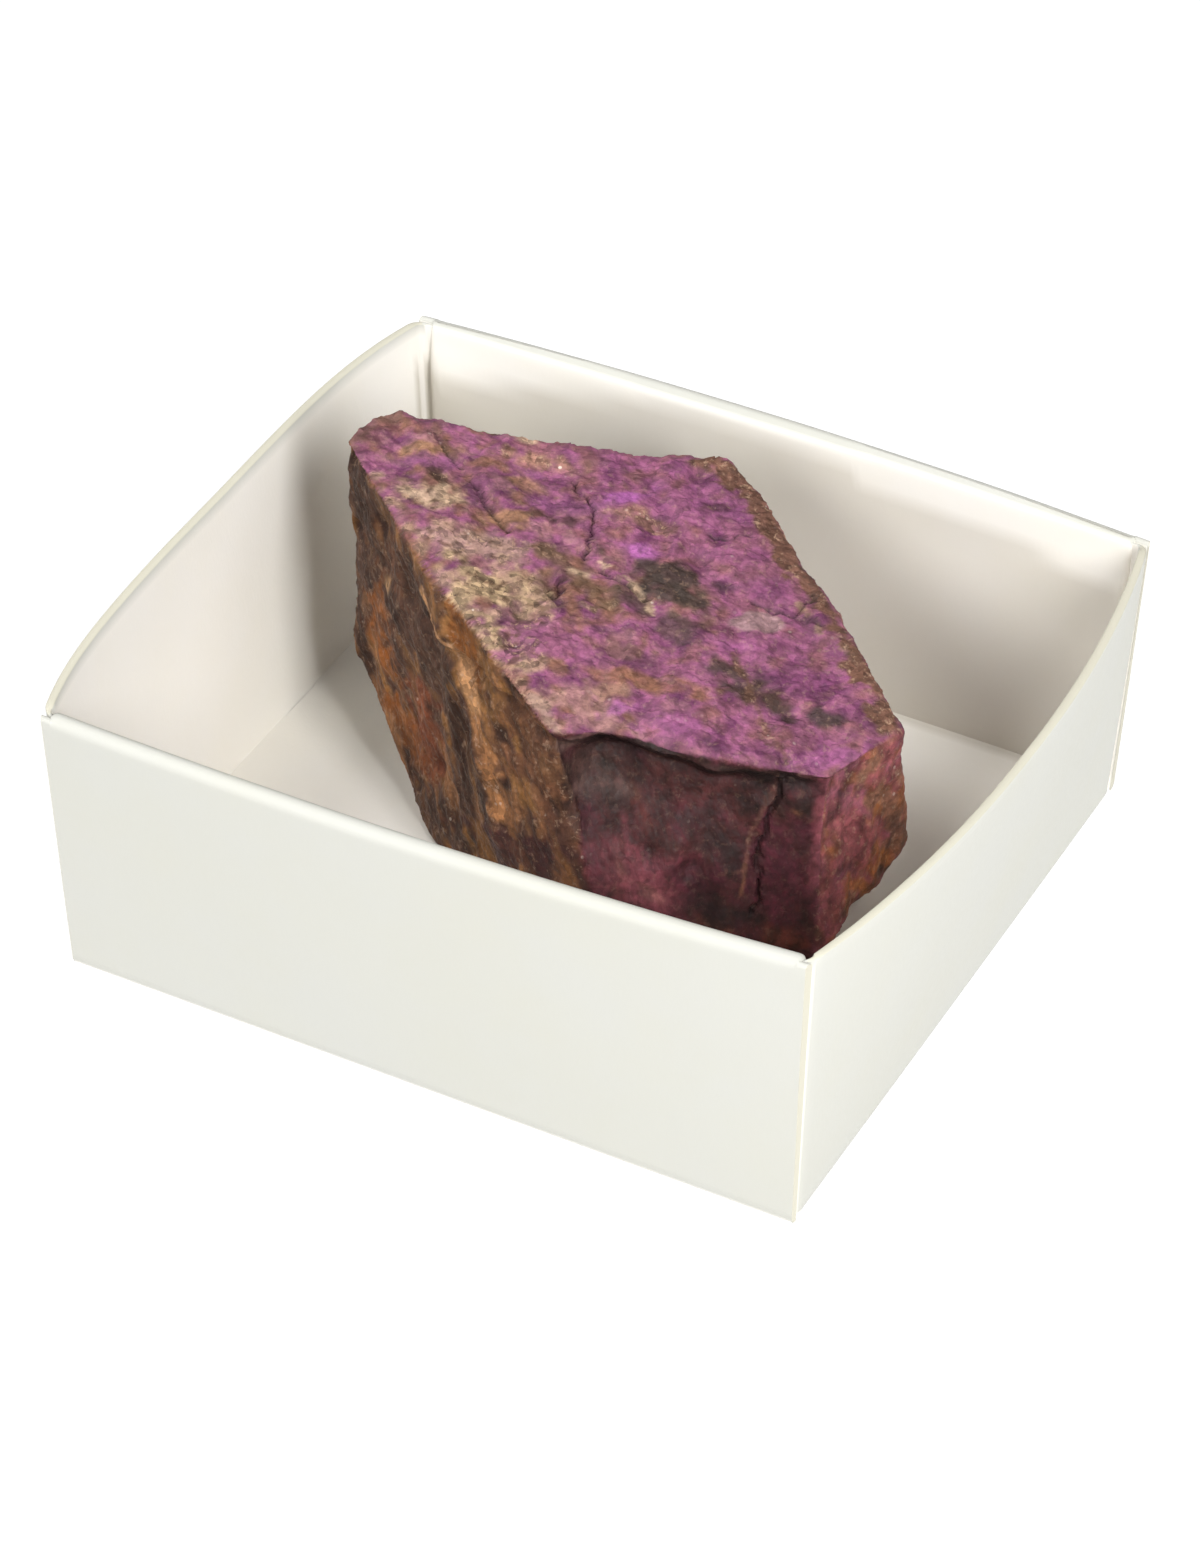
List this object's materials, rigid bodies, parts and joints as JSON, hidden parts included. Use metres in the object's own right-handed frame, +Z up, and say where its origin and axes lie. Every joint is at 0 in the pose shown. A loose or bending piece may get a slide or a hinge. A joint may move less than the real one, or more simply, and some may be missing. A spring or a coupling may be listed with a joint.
{
  "type": "mineral specimen in card tray",
  "caption": "Rough angular lump of violet purpurite with a slanting flat top, resting loose in a shallow open tray folded from white card.",
  "frame": {"origin": "middle of the tray's overall outline, on the surface that the tray stands on", "axes": "+Z up out of the tray's mouth, +X to the right along the front wall, +Y from the front wall to the back wall"},
  "size_m": [0.061, 0.0528, 0.0266],
  "materials": {
    "purple_stone": "rough broken mineral, violet with ochre and rust-brown patches",
    "white_card": "smooth uncoated off-white card"
  },
  "bodies": {
    "root": {"purpurite": "purple_stone", "card_tray": "white_card"}
  },
  "joints": []
}
